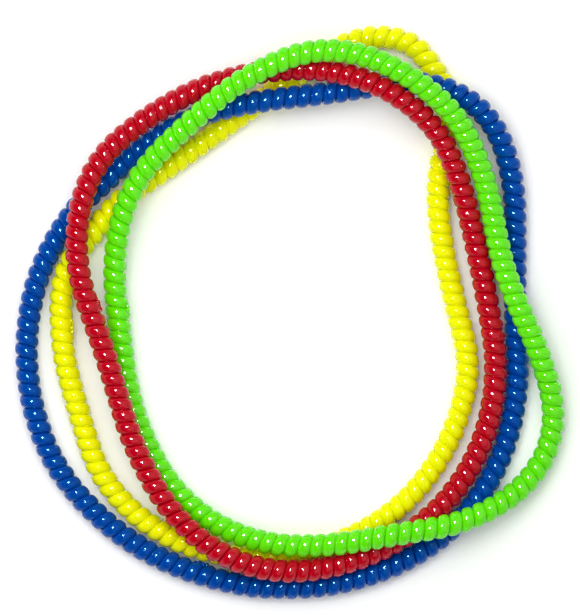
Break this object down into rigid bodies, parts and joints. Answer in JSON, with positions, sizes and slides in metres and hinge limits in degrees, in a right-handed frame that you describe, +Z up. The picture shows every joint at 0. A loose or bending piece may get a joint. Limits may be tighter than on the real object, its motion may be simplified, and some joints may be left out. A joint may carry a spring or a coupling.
{
  "type": "stretch coil leg band set",
  "caption": "Closed loops of tightly coiled glossy plastic cord, laid loosely over one another, stretched over a leg or neck to mark small livestock.",
  "frame": {"origin": "on the floor, under the middle of the pile's box", "axes": "+Z up through the loops, +Y towards the loop of the yellow band that reaches out of the pile"},
  "size_m": [0.2196, 0.2292, 0.0328],
  "materials": {
    "yellow_plastic": "gloss",
    "blue_plastic": "gloss",
    "red_plastic": "gloss",
    "green_plastic": "gloss"
  },
  "bodies": {
    "yellow": {"yellow_band": "yellow_plastic"},
    "blue": {"blue_band": "blue_plastic"},
    "red": {"red_band": "red_plastic"},
    "green": {"green_band": "green_plastic"}
  },
  "joints": [
    {"name": "blue_lift", "type": "slide", "parent": "yellow", "child": "blue", "axis": [0, 0, 1], "range_m": [0, 0.06]},
    {"name": "red_lift", "type": "slide", "parent": "blue", "child": "red", "axis": [0, 0, 1], "range_m": [0, 0.06]},
    {"name": "green_lift", "type": "slide", "parent": "blue", "child": "green", "axis": [0, 0, 1], "range_m": [0, 0.06]}
  ],
  "couplings": [
    {"joint": "green_lift", "follows": "red_lift", "ratio": 1}
  ]
}
